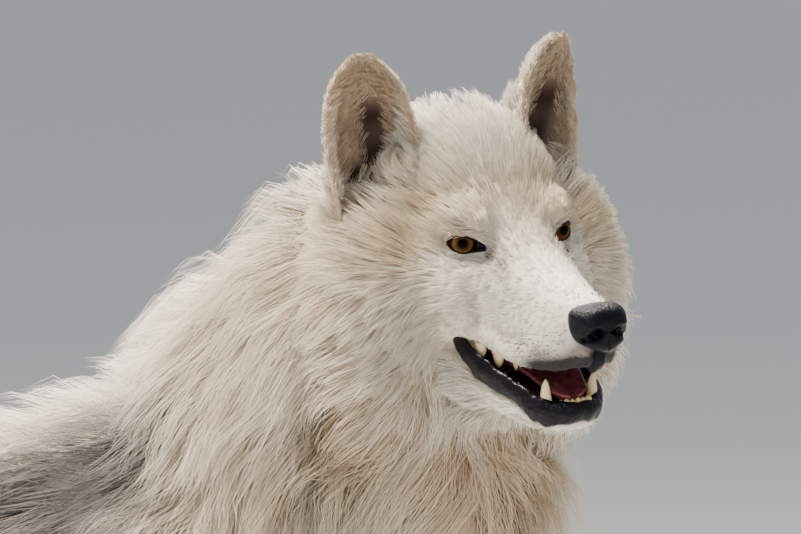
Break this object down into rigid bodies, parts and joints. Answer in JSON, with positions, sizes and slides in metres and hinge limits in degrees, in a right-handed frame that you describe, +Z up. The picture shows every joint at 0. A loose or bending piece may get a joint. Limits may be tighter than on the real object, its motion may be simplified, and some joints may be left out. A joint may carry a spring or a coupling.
{
  "type": "arctic wolf model",
  "caption": "Life-size still model of a standing arctic wolf with its head turned and its mouth a little open, resting on its paws.",
  "frame": {"origin": "middle of the model's box, on the floor between the paws", "axes": "+X towards the front of the body, +Y to the wolf's left, +Z up"},
  "size_m": [1.2714, 0.3762, 1.0431],
  "materials": {
    "coat": "long white and cream fur over tan underfur",
    "ear": "short tan-edged fur, bare brownish pink inside",
    "nose": "moist black pebbled skin",
    "tongue": "wet pink-red",
    "eye": "glossy amber iris with a black pupil",
    "claw": "dark horn"
  },
  "bodies": {
    "root": {"head": "coat", "lower_jaw": "coat", "neck": "coat", "trunk": "coat", "tail": "coat", "foreleg_left": "coat", "foreleg_right": "coat", "forepaw_left": "coat", "forepaw_right": "coat", "hindleg_left": "coat", "hindleg_right": "coat", "hindpaw_left": "coat", "hindpaw_right": "coat", "ear_left": "ear", "ear_right": "ear", "nose": "nose", "tongue": "tongue", "eye_left": "eye", "eye_right": "eye", "claw_fore_left_1": "claw", "claw_fore_left_2": "claw", "claw_fore_left_3": "claw", "claw_fore_left_4": "claw", "claw_fore_right_1": "claw", "claw_fore_right_2": "claw", "claw_fore_right_3": "claw", "claw_fore_right_4": "claw", "claw_hind_left_1": "claw", "claw_hind_left_2": "claw", "claw_hind_left_3": "claw", "claw_hind_left_4": "claw", "claw_hind_right_1": "claw", "claw_hind_right_2": "claw", "claw_hind_right_3": "claw", "claw_hind_right_4": "claw"}
  },
  "joints": []
}
